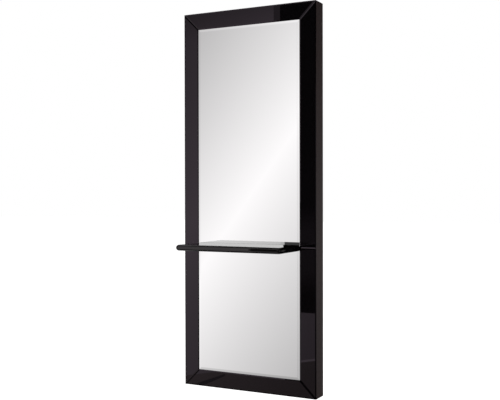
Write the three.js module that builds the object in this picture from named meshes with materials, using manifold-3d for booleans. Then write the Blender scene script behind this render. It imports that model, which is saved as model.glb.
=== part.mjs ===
// Tall wall mirror with a floating shelf, in millimetres, +Z up.
// A deep lacquered box frame carries two bevelled mirror panes and a mitred border of black glass strips.
// The shelf slides onto two steel rods, and the whole unit hooks onto a bevelled cleat on the wall.
// The origin is the middle of the frame's underside. The mirror faces -Y and the wall is at +Y.

import * as THREE from 'three';
import { ConvexGeometry } from 'three/addons/geometries/ConvexGeometry.js';
import { mergeVertices } from 'three/addons/utils/BufferGeometryUtils.js';
import Module from 'manifold-3d';

const wasm = await Module();
wasm.setup();

// ---------------------------------------------------------------- driving dimensions

// frame
const FRAME_HEIGHT = 1900;
const FRAME_WIDTH = 730;
const FRAME_DEPTH = 90; // from the wall to the front of the glass
const PANEL = 18; // side, top and bottom panels
const FRONT_BOARD = 12;
const GLUE_LINE = 0.2; // gap left in each glued joint
const GLUE_BLOCK = 40;
const GLUE_BLOCK_DEPTH = 60;

// glass
const GLASS = 5;
const TAPE_LAYER = 1;
const TAPE_FILM = 0.1; // gap left on each side of the tape
const GLASS_JOINT = 0.5; // gap between neighbouring pieces of glass
const BORDER_WIDTH = 84;
const BORDER_BEVEL = { width: 5, depth: 1.6 };
const MIRROR_BEVEL = { width: 12, depth: 1.5 };
const BORDER_TAPE_WIDTH = 36;
const BORDER_TAPE_INSET = 24; // tape end to the short edge of its strip
const MIRROR_TAPE_WIDTH = 60;
const MIRROR_TAPE_INSET = 40;
const MIRROR_TAPE_SPACING = 190;

// shelf
const SHELF_TOP = 734;
const SHELF_THICKNESS = 29;
const SHELF_WIDTH = 568;
const SHELF_PROJECTION = 225;
const SHELF_CORNER_RADIUS = 18;
const SHELF_REAR_GAP = 0.3;
const EDGE_STEPS = 12; // facets around the half-round edge
const CORNER_STEPS = 8; // facets around each front corner

// shelf supports
const SUPPORT_SPACING = 352;
const SUPPORT_ROD_RADIUS = 6;
const SUPPORT_ROD_IN_SHELF = 150;
const SUPPORT_PLATE = { width: 50, height: 100, thickness: 5 };
const SUPPORT_SCREW_OFFSET = 34; // from the rod to each plate screw
const LOCK_SCREW_RADIUS = 3;
const LOCK_SCREW_RECESS = 0.7; // depth of its end inside the shelf's underside
const LOCK_SCREW_SETBACK = 45; // from the shelf's rear edge

// rails inside the frame
const SHELF_RAIL = { height: 150, thickness: 22 };
const LOWER_RAIL = { height: 100, thickness: 18, bottom: 150 };
const HANGING_RAIL = { height: 120, thickness: 18, gap: 12 }; // gap below the upper glue blocks

// hanging cleats
const CLEAT_THICKNESS = 18;
const FRAME_CLEAT_HEIGHT = 90;
const WALL_CLEAT_HEIGHT = 110;
const CLEAT_END_GAP = 25; // from each end of the cleats to the side panels
const CLEAT_WALL_RELIEF = 0.5;
const CLEAT_SCREW_SPACING = 190;
const WALL_HOLE_RADIUS = 3;
const WALL_HOLE_SPACING = 160;
const WALL_HOLE_HEAD_RADIUS = 6;
const WALL_HOLE_HEAD_DEPTH = 4;

// angle brackets that tie the hanging rail to the sides
const ANGLE = { leg: 30, height: 100, thickness: 2.5 };
const ANGLE_SCREW_SPACING = 60;

// screws and fits
const SCREW = { shank: 2.1, head: 4.4, headHeight: 2.4, tip: 4 };
const SUPPORT_SCREW_LENGTH = 21;
const CLEAT_SCREW_LENGTH = 28;
const ANGLE_SCREW_LENGTH = 14;
const CLEARANCE = 0.3;
const ROUND_STEPS = 24;

// ---------------------------------------------------------------- places worked out from them

const HALF_WIDTH = FRAME_WIDTH / 2;
const WALL_Y = FRAME_DEPTH / 2;
const GLASS_FRONT_Y = -FRAME_DEPTH / 2;
const GLASS_BACK_Y = GLASS_FRONT_Y + GLASS;
const BOARD_FRONT_Y = GLASS_BACK_Y + TAPE_LAYER;
const BOARD_BACK_Y = BOARD_FRONT_Y + FRONT_BOARD;
const INNER_HALF_WIDTH = HALF_WIDTH - PANEL;
const INSIDE_X = INNER_HALF_WIDTH - GLUE_LINE; // how far a glued part reaches towards a side panel
const INSIDE_TOP = FRAME_HEIGHT - PANEL - GLUE_LINE;
const INSIDE_BOTTOM = PANEL + GLUE_LINE;
const BEHIND_BOARD_Y = BOARD_BACK_Y + GLUE_LINE;

const SHELF_AXIS_Z = SHELF_TOP - SHELF_THICKNESS / 2; // the rods, and the seam in the glass, lie on it
const SHELF_REAR_Y = GLASS_FRONT_Y - SHELF_REAR_GAP;
const SHELF_FRONT_Y = GLASS_FRONT_Y - SHELF_PROJECTION;
const ROD_HOLE_RADIUS = SUPPORT_ROD_RADIUS + CLEARANCE;
const LOCK_SCREW_LENGTH = SHELF_THICKNESS / 2 - ROD_HOLE_RADIUS - LOCK_SCREW_RECESS;
const PANE_GAP = 2 * (ROD_HOLE_RADIUS + GLASS_JOINT); // slot behind the shelf that the rods pass through

const SHELF_RAIL_BACK_Y = BEHIND_BOARD_Y + SHELF_RAIL.thickness;
const PLATE_FRONT_Y = SHELF_RAIL_BACK_Y + GLUE_LINE;
const PLATE_BACK_Y = PLATE_FRONT_Y + SUPPORT_PLATE.thickness;

const HANGING_RAIL_TOP = INSIDE_TOP - GLUE_BLOCK - HANGING_RAIL.gap;
const CLEAT_BACK_Y = WALL_Y - CLEAT_WALL_RELIEF;
const CLEAT_FRONT_Y = CLEAT_BACK_Y - CLEAT_THICKNESS;
const HANGING_RAIL_BACK_Y = CLEAT_FRONT_Y - GLUE_LINE;
const HANGING_RAIL_FRONT_Y = HANGING_RAIL_BACK_Y - HANGING_RAIL.thickness;
const CLEAT_HALF_LENGTH = INNER_HALF_WIDTH - CLEAT_END_GAP;
const FRAME_CLEAT_TIP_Z = HANGING_RAIL_TOP - FRAME_CLEAT_HEIGHT;
const CLEAT_JOINT_DROP = CLEARANCE * Math.SQRT2; // height of the gap between the two 45 degree faces

const HEAD_POCKET_RADIUS = SCREW.head + CLEARANCE;
const HEAD_POCKET_DEPTH = SCREW.headHeight + CLEARANCE;
const SHANK_HOLE_RADIUS = SCREW.shank + CLEARANCE;

// ---------------------------------------------------------------- materials

function finish(color, roughness, metalness) {
  return new THREE.MeshStandardMaterial({ color, roughness, metalness });
}

const lacquer = () => finish(0x35302f, 0.45, 0);
const rawBoard = () => finish(0x8a6f52, 0.85, 0);
const blackGlass = () => finish(0x0b0a0b, 0.05, 0);
const silvered = () => finish(0xe6e8ea, 0.02, 1);
const glossBlack = () => finish(0x100f10, 0.08, 0);
const plywood = () => finish(0xb08d5f, 0.8, 0);
const steel = () => finish(0x9a9da0, 0.35, 1);
const zinc = () => finish(0xc2c0b4, 0.3, 1);
const foam = () => finish(0xd9d7cf, 0.95, 0);

// ---------------------------------------------------------------- geometry helpers

// A three.js geometry as a manifold solid, and back again.
function toSolid(geometry) {
  const bare = geometry.clone();
  bare.deleteAttribute('normal');
  bare.deleteAttribute('uv');
  const merged = mergeVertices(bare, 1e-4);
  const mesh = new wasm.Mesh({
    numProp: 3,
    vertProperties: new Float32Array(merged.attributes.position.array),
    triVerts: new Uint32Array(merged.index.array),
  });
  return new wasm.Manifold(mesh);
}

function toGeometry(solid) {
  const mesh = solid.getMesh();
  const geometry = new THREE.BufferGeometry();
  geometry.setAttribute('position', new THREE.BufferAttribute(mesh.vertProperties, 3));
  geometry.setIndex(new THREE.BufferAttribute(mesh.triVerts, 1));
  const flat = geometry.toNonIndexed();
  flat.computeVertexNormals();
  return flat;
}

function cut(geometry, tools) {
  let solid = toSolid(geometry);
  for (const tool of tools) {
    solid = solid.subtract(toSolid(tool));
  }
  return toGeometry(solid);
}

function join(geometry, extra) {
  return toGeometry(toSolid(geometry).add(toSolid(extra)));
}

// A box between two opposite corners.
function boxBetween(low, high) {
  const size = high.map((value, axis) => value - low[axis]);
  const middle = high.map((value, axis) => (value + low[axis]) / 2);
  return new THREE.BoxGeometry(...size).translate(...middle);
}

// A round bar between two points.
function barBetween(start, end, radius) {
  const from = new THREE.Vector3(...start);
  const to = new THREE.Vector3(...end);
  const along = to.clone().sub(from);
  const bar = new THREE.CylinderGeometry(radius, radius, along.length(), ROUND_STEPS);
  const turn = new THREE.Quaternion().setFromUnitVectors(
    new THREE.Vector3(0, 1, 0),
    along.clone().normalize(),
  );
  bar.applyQuaternion(turn);
  const middle = from.add(to).multiplyScalar(0.5);
  return bar.translate(middle.x, middle.y, middle.z);
}

// Moves each edge of a convex outline inwards by its own distance. The outline runs anticlockwise.
function insetOutline(outline, distances) {
  const count = outline.length;
  const edges = outline.map((start, index) => {
    const end = outline[(index + 1) % count];
    const length = Math.hypot(end[0] - start[0], end[1] - start[1]);
    const inward = [-(end[1] - start[1]) / length, (end[0] - start[0]) / length];
    const offset = inward[0] * start[0] + inward[1] * start[1] + distances[index];
    return { inward, offset };
  });
  return outline.map((_, index) => {
    const before = edges[(index + count - 1) % count];
    const after = edges[index];
    const cross = before.inward[0] * after.inward[1] - before.inward[1] * after.inward[0];
    return [
      (before.offset * after.inward[1] - after.offset * before.inward[1]) / cross,
      (before.inward[0] * after.offset - after.inward[0] * before.offset) / cross,
    ];
  });
}

// A flat pane of glass whose front edges are ground to a bevel. The outline is in X and Z, and an
// edge whose entry in bevelled is false stays square.
function bevelledPane(outline, bevel, bevelled) {
  const shoulderY = GLASS_FRONT_Y + bevel.depth;
  const front = insetOutline(outline, bevelled.map((yes) => (yes ? bevel.width : 0)));
  const corners = [
    ...outline.map(([x, z]) => new THREE.Vector3(x, GLASS_BACK_Y, z)),
    ...outline.map(([x, z]) => new THREE.Vector3(x, shoulderY, z)),
    ...front.map(([x, z]) => new THREE.Vector3(x, GLASS_FRONT_Y, z)),
  ];
  return new ConvexGeometry(corners);
}

// A profile drawn in Y and Z, extruded along X and centred on x = 0.
function extrudeAlongX(profile, length) {
  const shape = new THREE.Shape(profile.map(([y, z]) => new THREE.Vector2(y, z)));
  const solid = new THREE.ExtrudeGeometry(shape, { depth: length, bevelEnabled: false });
  const turn = new THREE.Matrix4().makeBasis(
    new THREE.Vector3(0, 1, 0),
    new THREE.Vector3(0, 0, 1),
    new THREE.Vector3(1, 0, 0),
  );
  return solid.applyMatrix4(turn).translate(-length / 2, 0, 0);
}

// A pan-head wood screw along Y. The head's underside is at y = 0 and the tip points to -Y.
function woodScrew(length) {
  const { shank, head, headHeight, tip } = SCREW;
  const profile = [
    [0, -length],
    [shank, -length + tip],
    [shank, 0],
    [head, 0],
    [head, headHeight * 0.4],
    [head * 0.7, headHeight],
    [0, headHeight],
  ];
  return new THREE.LatheGeometry(profile.map(([x, y]) => new THREE.Vector2(x, y)), ROUND_STEPS);
}

// ---------------------------------------------------------------- assembly

const unit = new THREE.Group();
const wallSide = new THREE.Group();

function place(name, geometry, material, parent = unit) {
  const mesh = new THREE.Mesh(geometry, material);
  mesh.name = name;
  parent.add(mesh);
  return mesh;
}

const SIDES = [['left', -1], ['right', 1]];

// ---------------------------------------------------------------- screw places

const supportXs = SIDES.map(([, side]) => side * SUPPORT_SPACING / 2);
const supportScrewZs = [SHELF_AXIS_Z - SUPPORT_SCREW_OFFSET, SHELF_AXIS_Z + SUPPORT_SCREW_OFFSET];
const cleatScrewXs = [-1.5, -0.5, 0.5, 1.5].map((step) => step * CLEAT_SCREW_SPACING);
const cleatScrewZ = HANGING_RAIL_TOP - FRAME_CLEAT_HEIGHT / 3;
const cleatPocketY = CLEAT_BACK_Y - HEAD_POCKET_DEPTH;
const angleMiddleZ = HANGING_RAIL_TOP - HANGING_RAIL.height / 2;
const angleScrewZs = [-0.5, 0.5].map((step) => angleMiddleZ + step * ANGLE_SCREW_SPACING);
const angleFrontY = HANGING_RAIL_FRONT_Y - GLUE_LINE;
const angleBackY = angleFrontY - ANGLE.thickness;
const angleEndX = INSIDE_X - ANGLE.thickness;
const angleRailScrewX = INSIDE_X - ANGLE.leg * 0.6;
const angleSideScrewY = angleFrontY - ANGLE.leg * 0.6;

// The hole a screw needs: its head's underside at start, running towards direction.
function screwHole(start, direction, length) {
  const back = start.map((value, axis) => value - direction[axis] * CLEARANCE);
  const end = start.map((value, axis) => value + direction[axis] * (length + CLEARANCE));
  return barBetween(back, end, SHANK_HOLE_RADIUS);
}

// ---------------------------------------------------------------- box frame

function sidePanel(side) {
  const inner = side * INNER_HALF_WIDTH;
  const outer = side * HALF_WIDTH;
  const low = [Math.min(inner, outer), BOARD_FRONT_Y, 0];
  const high = [Math.max(inner, outer), WALL_Y, FRAME_HEIGHT];
  const holes = angleScrewZs.map((z) => screwHole(
    [side * angleEndX, angleSideScrewY, z],
    [side, 0, 0],
    ANGLE_SCREW_LENGTH,
  ));
  return cut(boxBetween(low, high), holes);
}

for (const [word, side] of SIDES) {
  place(`side_panel_${word}`, sidePanel(side), lacquer());
}

function crossPanel(bottom) {
  return boxBetween([-INSIDE_X, BOARD_FRONT_Y, bottom], [INSIDE_X, WALL_Y, bottom + PANEL]);
}

place('top_panel', crossPanel(FRAME_HEIGHT - PANEL), lacquer());
place('bottom_panel', crossPanel(0), lacquer());

// the two holes that each shelf support rod passes through on its way to the shelf
function rodHoles(frontY, backY) {
  return supportXs.map((x) => barBetween(
    [x, frontY - CLEARANCE, SHELF_AXIS_Z],
    [x, backY + CLEARANCE, SHELF_AXIS_Z],
    ROD_HOLE_RADIUS,
  ));
}

const frontBoard = boxBetween(
  [-INSIDE_X, BOARD_FRONT_Y, INSIDE_BOTTOM],
  [INSIDE_X, BOARD_BACK_Y, INSIDE_TOP],
);
place('front_board', cut(frontBoard, rodHoles(BOARD_FRONT_Y, BOARD_BACK_Y)), rawBoard());

for (const [word, side] of SIDES) {
  const blockXs = [side * INSIDE_X, side * (INSIDE_X - GLUE_BLOCK)].sort((a, b) => a - b);
  const heights = [
    ['top', INSIDE_TOP - GLUE_BLOCK],
    ['bottom', INSIDE_BOTTOM],
  ];
  for (const [level, bottom] of heights) {
    const block = boxBetween(
      [blockXs[0], BEHIND_BOARD_Y, bottom],
      [blockXs[1], BEHIND_BOARD_Y + GLUE_BLOCK_DEPTH, bottom + GLUE_BLOCK],
    );
    place(`glue_block_${level}_${word}`, block, plywood());
  }
}

// ---------------------------------------------------------------- rails

const lowerRail = boxBetween(
  [-INSIDE_X, BEHIND_BOARD_Y, LOWER_RAIL.bottom],
  [INSIDE_X, BEHIND_BOARD_Y + LOWER_RAIL.thickness, LOWER_RAIL.bottom + LOWER_RAIL.height],
);
place('lower_rail', lowerRail, plywood());

const shelfRail = boxBetween(
  [-INSIDE_X, BEHIND_BOARD_Y, SHELF_AXIS_Z - SHELF_RAIL.height / 2],
  [INSIDE_X, SHELF_RAIL_BACK_Y, SHELF_AXIS_Z + SHELF_RAIL.height / 2],
);
const supportScrewHoles = supportXs.flatMap((x) => supportScrewZs.map((z) => screwHole(
  [x, PLATE_BACK_Y, z],
  [0, -1, 0],
  SUPPORT_SCREW_LENGTH,
)));
place(
  'shelf_rail',
  cut(shelfRail, [...rodHoles(BEHIND_BOARD_Y, SHELF_RAIL_BACK_Y), ...supportScrewHoles]),
  plywood(),
);

const hangingRail = boxBetween(
  [-INSIDE_X, HANGING_RAIL_FRONT_Y, HANGING_RAIL_TOP - HANGING_RAIL.height],
  [INSIDE_X, HANGING_RAIL_BACK_Y, HANGING_RAIL_TOP],
);
const cleatScrewHoles = cleatScrewXs.map((x) => screwHole(
  [x, cleatPocketY, cleatScrewZ],
  [0, -1, 0],
  CLEAT_SCREW_LENGTH,
));
const angleRailHoles = SIDES.flatMap(([, side]) => angleScrewZs.map((z) => screwHole(
  [side * angleRailScrewX, angleBackY, z],
  [0, 1, 0],
  ANGLE_SCREW_LENGTH,
)));
place('hanging_rail', cut(hangingRail, [...cleatScrewHoles, ...angleRailHoles]), plywood());

// ---------------------------------------------------------------- cleats

const frameCleatProfile = [
  [CLEAT_BACK_Y, FRAME_CLEAT_TIP_Z],
  [CLEAT_BACK_Y, HANGING_RAIL_TOP],
  [CLEAT_FRONT_Y, HANGING_RAIL_TOP],
  [CLEAT_FRONT_Y, FRAME_CLEAT_TIP_Z + CLEAT_THICKNESS],
];
const frameCleat = extrudeAlongX(frameCleatProfile.toReversed(), 2 * CLEAT_HALF_LENGTH);
const headPockets = cleatScrewXs.map((x) => barBetween(
  [x, cleatPocketY, cleatScrewZ],
  [x, CLEAT_BACK_Y + CLEARANCE, cleatScrewZ],
  HEAD_POCKET_RADIUS,
));
place('frame_cleat', cut(frameCleat, [...cleatScrewHoles, ...headPockets]), plywood());

for (const [index, x] of cleatScrewXs.entries()) {
  const screw = place(`frame_cleat_screw_${index + 1}`, woodScrew(CLEAT_SCREW_LENGTH), zinc());
  screw.position.set(x, cleatPocketY + CLEARANCE / 2, cleatScrewZ);
}

// The wall cleat's top face lies just under the frame cleat's bottom face, at the same 45 degrees.
const wallCleatFrontY = CLEAT_FRONT_Y + CLEARANCE;
const wallCleatBackTopZ = FRAME_CLEAT_TIP_Z - CLEAT_JOINT_DROP - CLEAT_WALL_RELIEF;
const wallCleatFrontTopZ = wallCleatBackTopZ + (WALL_Y - wallCleatFrontY);
const wallCleatBottomZ = wallCleatFrontTopZ - WALL_CLEAT_HEIGHT;
const wallCleatProfile = [
  [WALL_Y, wallCleatBottomZ],
  [WALL_Y, wallCleatBackTopZ],
  [wallCleatFrontY, wallCleatFrontTopZ],
  [wallCleatFrontY, wallCleatBottomZ],
];
const wallHoleZ = wallCleatBottomZ + WALL_CLEAT_HEIGHT * 0.45;
const wallHoles = [-1.5, -0.5, 0.5, 1.5].flatMap((step) => {
  const x = step * WALL_HOLE_SPACING;
  return [
    barBetween(
      [x, wallCleatFrontY - CLEARANCE, wallHoleZ],
      [x, WALL_Y + CLEARANCE, wallHoleZ],
      WALL_HOLE_RADIUS,
    ),
    barBetween(
      [x, wallCleatFrontY - CLEARANCE, wallHoleZ],
      [x, wallCleatFrontY + WALL_HOLE_HEAD_DEPTH, wallHoleZ],
      WALL_HOLE_HEAD_RADIUS,
    ),
  ];
});
const wallCleat = extrudeAlongX(wallCleatProfile.toReversed(), 2 * CLEAT_HALF_LENGTH);
place('wall_cleat', cut(wallCleat, wallHoles), plywood(), wallSide);

// ---------------------------------------------------------------- angle brackets of the hanging rail

function angleBracket(side) {
  const low = angleMiddleZ - ANGLE.height / 2;
  const high = angleMiddleZ + ANGLE.height / 2;
  const outerX = side * INSIDE_X;
  const profile = [
    [outerX, angleFrontY],
    [outerX - side * ANGLE.leg, angleFrontY],
    [outerX - side * ANGLE.leg, angleBackY],
    [side * angleEndX, angleBackY],
    [side * angleEndX, angleFrontY - ANGLE.leg],
    [outerX, angleFrontY - ANGLE.leg],
  ];
  const anticlockwise = side > 0 ? profile : profile.toReversed();
  const shape = new THREE.Shape(anticlockwise.map(([x, y]) => new THREE.Vector2(x, y)));
  const solid = new THREE.ExtrudeGeometry(shape, { depth: high - low, bevelEnabled: false });
  solid.translate(0, 0, low);
  const holes = angleScrewZs.flatMap((z) => [
    screwHole([side * angleRailScrewX, angleBackY, z], [0, 1, 0], ANGLE_SCREW_LENGTH),
    screwHole([side * angleEndX, angleSideScrewY, z], [side, 0, 0], ANGLE_SCREW_LENGTH),
  ]);
  return cut(solid, holes);
}

for (const [word, side] of SIDES) {
  place(`angle_bracket_${word}`, angleBracket(side), steel());
  for (const [index, z] of angleScrewZs.entries()) {
    const railScrew = place(
      `angle_rail_screw_${word}_${index + 1}`,
      woodScrew(ANGLE_SCREW_LENGTH),
      zinc(),
    );
    railScrew.position.set(side * angleRailScrewX, angleBackY - CLEARANCE / 2, z);
    railScrew.rotation.z = Math.PI;
    const sideScrew = place(
      `angle_side_screw_${word}_${index + 1}`,
      woodScrew(ANGLE_SCREW_LENGTH),
      zinc(),
    );
    sideScrew.position.set(side * (angleEndX - CLEARANCE / 2), angleSideScrewY, z);
    sideScrew.rotation.z = side * Math.PI / 2;
  }
}

// ---------------------------------------------------------------- black glass border

const HALF_JOINT = GLASS_JOINT / 2;
const MITRE_JOINT = HALF_JOINT * Math.SQRT2; // measured along X or Z across the diagonal joint
const INNER_X = HALF_WIDTH - BORDER_WIDTH;
const INNER_TOP = FRAME_HEIGHT - BORDER_WIDTH;
const ALL_EDGES = [true, true, true, true];

const topStrip = [
  [-HALF_WIDTH + MITRE_JOINT, FRAME_HEIGHT],
  [-INNER_X + MITRE_JOINT, INNER_TOP],
  [INNER_X - MITRE_JOINT, INNER_TOP],
  [HALF_WIDTH - MITRE_JOINT, FRAME_HEIGHT],
];
const bottomStrip = topStrip.map(([x, z]) => [x, FRAME_HEIGHT - z]).toReversed();
place('border_top', bevelledPane(topStrip, BORDER_BEVEL, ALL_EDGES), blackGlass());
place('border_bottom', bevelledPane(bottomStrip, BORDER_BEVEL, ALL_EDGES), blackGlass());

// One half-height strip of a side border, drawn on the right and mirrored to the left.
function sideStrip(side, upper) {
  const seam = SHELF_AXIS_Z + (upper ? HALF_JOINT : -HALF_JOINT);
  const inner = upper ? INNER_TOP + MITRE_JOINT : BORDER_WIDTH - MITRE_JOINT;
  const outer = upper ? FRAME_HEIGHT - MITRE_JOINT : MITRE_JOINT;
  const outline = [
    [side * INNER_X, seam],
    [side * HALF_WIDTH, seam],
    [side * HALF_WIDTH, outer],
    [side * INNER_X, inner],
  ];
  const anticlockwise = (side > 0) === upper;
  return anticlockwise ? outline : outline.toReversed();
}

const LEVELS = [['upper', true], ['lower', false]];
for (const [word, side] of SIDES) {
  for (const [level, upper] of LEVELS) {
    const pane = bevelledPane(sideStrip(side, upper), BORDER_BEVEL, ALL_EDGES);
    place(`border_${word}_${level}`, pane, blackGlass());
  }
}

// ---------------------------------------------------------------- mirror panes

// Each pane is bevelled on its three outer edges. The edge behind the shelf is ground square.
const PANE_X = INNER_X - GLASS_JOINT;
const paneSpans = {
  upper: [SHELF_AXIS_Z + PANE_GAP / 2, INNER_TOP - GLASS_JOINT],
  lower: [BORDER_WIDTH + GLASS_JOINT, SHELF_AXIS_Z - PANE_GAP / 2],
};
for (const [level, upper] of LEVELS) {
  const [low, high] = paneSpans[level];
  const outline = [[-PANE_X, low], [PANE_X, low], [PANE_X, high], [-PANE_X, high]];
  const bevelled = [!upper, true, upper, true];
  place(`mirror_${level}`, bevelledPane(outline, MIRROR_BEVEL, bevelled), silvered());
}

// ---------------------------------------------------------------- mounting tape behind the glass

function tape(low, high) {
  return boxBetween(
    [low[0], GLASS_BACK_Y + TAPE_FILM, low[1]],
    [high[0], BOARD_FRONT_Y - TAPE_FILM, high[1]],
  );
}

const BORDER_MIDDLE = BORDER_WIDTH / 2;
const STRIP_TAPE_END_X = INNER_X - BORDER_TAPE_INSET;
for (const [level, z] of [['top', FRAME_HEIGHT - BORDER_MIDDLE], ['bottom', BORDER_MIDDLE]]) {
  const band = tape(
    [-STRIP_TAPE_END_X, z - BORDER_TAPE_WIDTH / 2],
    [STRIP_TAPE_END_X, z + BORDER_TAPE_WIDTH / 2],
  );
  place(`border_tape_${level}`, band, foam());
}
for (const [word, side] of SIDES) {
  const middle = side * (INNER_X + BORDER_MIDDLE);
  const spans = {
    upper: [SHELF_AXIS_Z + BORDER_TAPE_INSET, INNER_TOP - BORDER_TAPE_INSET],
    lower: [BORDER_WIDTH + BORDER_TAPE_INSET, SHELF_AXIS_Z - BORDER_TAPE_INSET],
  };
  for (const [level, [low, high]] of Object.entries(spans)) {
    const band = tape(
      [middle - BORDER_TAPE_WIDTH / 2, low],
      [middle + BORDER_TAPE_WIDTH / 2, high],
    );
    place(`border_tape_${word}_${level}`, band, foam());
  }
}
for (const [level, [low, high]] of Object.entries(paneSpans)) {
  for (const step of [-1, 0, 1]) {
    const middle = step * MIRROR_TAPE_SPACING;
    const band = tape(
      [middle - MIRROR_TAPE_WIDTH / 2, low + MIRROR_TAPE_INSET],
      [middle + MIRROR_TAPE_WIDTH / 2, high - MIRROR_TAPE_INSET],
    );
    place(`mirror_tape_${level}_${step + 2}`, band, foam());
  }
}

// ---------------------------------------------------------------- shelf

// A board with half-round left, right and front edges, rounded front corners and a flat rear edge.
function shelfBoard() {
  const edge = SHELF_THICKNESS / 2;
  const swing = SHELF_CORNER_RADIUS - edge; // from the corner's centre to the middle of the half-round
  const cornerX = SHELF_WIDTH / 2 - SHELF_CORNER_RADIUS;
  const cornerY = SHELF_FRONT_Y + SHELF_CORNER_RADIUS;
  const points = [];
  for (let i = 0; i <= EDGE_STEPS; i += 1) {
    const tilt = Math.PI * (i / EDGE_STEPS - 0.5);
    const reach = swing + edge * Math.cos(tilt);
    const z = SHELF_AXIS_Z + edge * Math.sin(tilt);
    for (const [, side] of SIDES) {
      points.push(new THREE.Vector3(side * (cornerX + reach), SHELF_REAR_Y, z));
      for (let j = 0; j <= CORNER_STEPS; j += 1) {
        const turn = (Math.PI / 2) * (j / CORNER_STEPS);
        const x = side * (cornerX + reach * Math.cos(turn));
        points.push(new THREE.Vector3(x, cornerY - reach * Math.sin(turn), z));
      }
    }
  }
  return new ConvexGeometry(points);
}

const rodEndY = SHELF_REAR_Y - SUPPORT_ROD_IN_SHELF;
const lockScrewY = SHELF_REAR_Y - LOCK_SCREW_SETBACK;
const lockScrewTopZ = SHELF_AXIS_Z - ROD_HOLE_RADIUS;
const shelfHoles = supportXs.flatMap((x) => [
  barBetween(
    [x, rodEndY - CLEARANCE, SHELF_AXIS_Z],
    [x, SHELF_REAR_Y + CLEARANCE, SHELF_AXIS_Z],
    ROD_HOLE_RADIUS,
  ),
  barBetween(
    [x, lockScrewY, SHELF_AXIS_Z],
    [x, lockScrewY, SHELF_TOP - SHELF_THICKNESS - CLEARANCE],
    LOCK_SCREW_RADIUS + CLEARANCE,
  ),
]);
place('shelf_board', cut(shelfBoard(), shelfHoles), glossBlack());

// A steel plate behind the shelf rail with a rod welded to its front.
function shelfSupport(x) {
  const plate = boxBetween(
    [x - SUPPORT_PLATE.width / 2, PLATE_FRONT_Y, SHELF_AXIS_Z - SUPPORT_PLATE.height / 2],
    [x + SUPPORT_PLATE.width / 2, PLATE_BACK_Y, SHELF_AXIS_Z + SUPPORT_PLATE.height / 2],
  );
  const rod = barBetween(
    [x, PLATE_FRONT_Y + SUPPORT_PLATE.thickness / 2, SHELF_AXIS_Z],
    [x, rodEndY, SHELF_AXIS_Z],
    SUPPORT_ROD_RADIUS,
  );
  const holes = supportScrewZs.map((z) => screwHole(
    [x, PLATE_BACK_Y, z],
    [0, -1, 0],
    SUPPORT_SCREW_LENGTH,
  ));
  return cut(join(plate, rod), holes);
}

for (const [index, [word]] of SIDES.entries()) {
  const x = supportXs[index];
  place(`shelf_support_${word}`, shelfSupport(x), steel());
  for (const [count, z] of supportScrewZs.entries()) {
    const screw = place(
      `shelf_support_screw_${word}_${count + 1}`,
      woodScrew(SUPPORT_SCREW_LENGTH),
      zinc(),
    );
    screw.position.set(x, PLATE_BACK_Y + CLEARANCE / 2, z);
  }
  const lockScrew = place(
    `shelf_lock_screw_${word}`,
    new THREE.CylinderGeometry(
      LOCK_SCREW_RADIUS,
      LOCK_SCREW_RADIUS,
      LOCK_SCREW_LENGTH,
      ROUND_STEPS,
    ),
    steel(),
  );
  lockScrew.position.set(x, lockScrewY, lockScrewTopZ - LOCK_SCREW_LENGTH / 2);
  lockScrew.rotation.x = Math.PI / 2;
}

const mirrorWithShelf = new THREE.Group();
mirrorWithShelf.add(unit, wallSide);

export default mirrorWithShelf;
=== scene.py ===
import math
from contextlib import contextmanager

import bmesh
import bpy
from mathutils import Matrix, Vector, noise


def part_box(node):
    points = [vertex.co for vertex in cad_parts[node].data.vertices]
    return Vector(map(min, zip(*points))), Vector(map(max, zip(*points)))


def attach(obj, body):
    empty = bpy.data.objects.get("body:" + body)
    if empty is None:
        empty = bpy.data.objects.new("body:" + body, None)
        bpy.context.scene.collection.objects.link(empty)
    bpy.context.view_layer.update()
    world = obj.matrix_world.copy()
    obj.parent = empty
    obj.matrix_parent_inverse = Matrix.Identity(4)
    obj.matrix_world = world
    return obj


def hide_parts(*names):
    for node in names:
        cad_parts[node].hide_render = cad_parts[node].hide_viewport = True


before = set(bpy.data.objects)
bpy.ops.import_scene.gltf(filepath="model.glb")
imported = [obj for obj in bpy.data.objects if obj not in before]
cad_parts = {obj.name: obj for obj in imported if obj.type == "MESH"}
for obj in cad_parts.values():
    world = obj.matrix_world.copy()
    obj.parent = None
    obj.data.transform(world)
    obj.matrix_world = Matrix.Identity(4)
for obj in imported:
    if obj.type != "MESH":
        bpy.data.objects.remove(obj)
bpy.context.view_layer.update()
UNIT = "mirror_unit"
WALL_SIDE = "wall_cleat"
SIDES = (("left", -1), ("right", 1))
LEVELS = (("upper", 1), ("lower", -1))
ENDS = (("top", 1), ("bottom", -1))

# ---------------- sizes, in metres

# camera, solved from the edges of the frame and the shelf
CAMERA_PLACE = (1.88003, -3.67018, 0.98990)
CAMERA_TURN = math.radians(27.2459)
CAMERA_TILT = math.radians(-0.5534)
CAMERA_ROLL = math.radians(-0.1087)
CAMERA_LENS = 59.385  # mm on a 36 mm sensor

# places that the frame gives
GLASS_FRONT_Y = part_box("border_top")[0].y
GLASS_BACK_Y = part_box("border_top")[1].y
SHELF_LOW, SHELF_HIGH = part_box("shelf_board")
SHELF_AXIS_Z = (SHELF_LOW.z + SHELF_HIGH.z) / 2

# glass
BORDER_BEVEL = (0.005, 0.0016)  # width and depth
MIRROR_BEVEL = (0.012, 0.0007)
ARRIS = 0.0003

# shelf
SHELF_CORNER = 0.018
SHELF_REAR_ROUND = 0.006
SHELF_EDGE_STEPS = 28
SHELF_CORNER_STEPS = 20
ROD_RADIUS = 0.006
ROD_HOLE_RADIUS = 0.0063

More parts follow.
